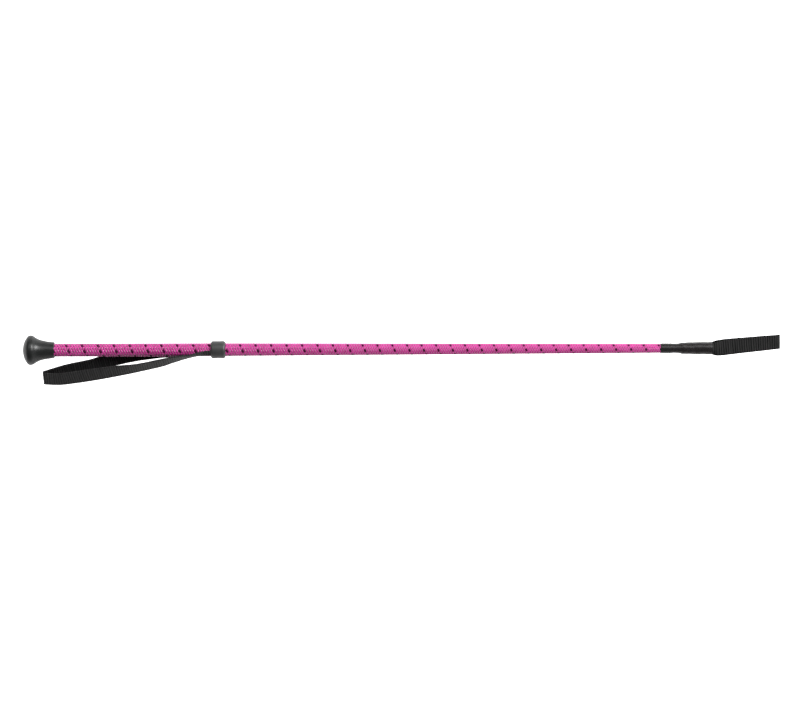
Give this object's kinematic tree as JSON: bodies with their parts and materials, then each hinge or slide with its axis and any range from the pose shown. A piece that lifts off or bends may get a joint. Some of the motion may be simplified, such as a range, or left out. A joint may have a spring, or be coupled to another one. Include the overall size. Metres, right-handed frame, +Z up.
{
  "type": "riding crop",
  "caption": "Short riding crop: braided tapered shaft with a mushroom end cap, a webbing wrist loop held by a rubber collar, and a folded webbing keeper at the tip.",
  "frame": {"origin": "on the shaft's axis, in the middle of the hand grip", "axes": "+X along the shaft from the butt to the tip, +Z up out of the surface that the crop lies on, so the wrist loop lies on the -Y side"},
  "size_m": [0.6491, 0.0422, 0.025],
  "materials": {
    "fibreglass": "satin moulded fibreglass rod",
    "filler": "matt filler",
    "braid_nylon": "bright pink braided nylon with one dark marker yarn",
    "cap_rubber": "satin moulded rubber",
    "collar_rubber": "satin rubber ring",
    "webbing": "black ribbed nylon webbing",
    "thread": "black waxed thread",
    "shrink_sleeve": "semi-gloss heat-shrunk sleeve"
  },
  "bodies": {
    "crop": {"core_rod": "fibreglass", "core_jacket": "filler", "braid_cover": "braid_nylon", "end_cap": "cap_rubber", "loop_tails": "webbing", "loop_binding": "thread", "loop_collar": "collar_rubber", "tip_sleeve": "shrink_sleeve", "keeper_tails": "webbing", "keeper_binding": "thread"},
    "neck": {"loop_neck": "webbing"},
    "loop": {"wrist_loop": "webbing"},
    "keeper": {"keeper_flap": "webbing"}
  },
  "joints": [
    {"name": "loop_swing", "type": "hinge", "parent": "crop", "child": "neck", "pos_m": [0.055, -0.0061, 0], "axis": [0, 0, 1], "range_deg": [0, 95], "stiffness_Nm_per_rad": 0.004},
    {"name": "loop_droop", "type": "hinge", "parent": "neck", "child": "loop", "pos_m": [0.025, 0, -0.0068], "axis": [0, -1, 0], "range_deg": [0, 75], "stiffness_Nm_per_rad": 0.02},
    {"name": "keeper_flex", "type": "hinge", "parent": "crop", "child": "keeper", "pos_m": [0.4992, 0.00023, 0], "axis": [-0.0906, 0.9959, 0], "range_deg": [-60, 60], "stiffness_Nm_per_rad": 0.3}
  ]
}
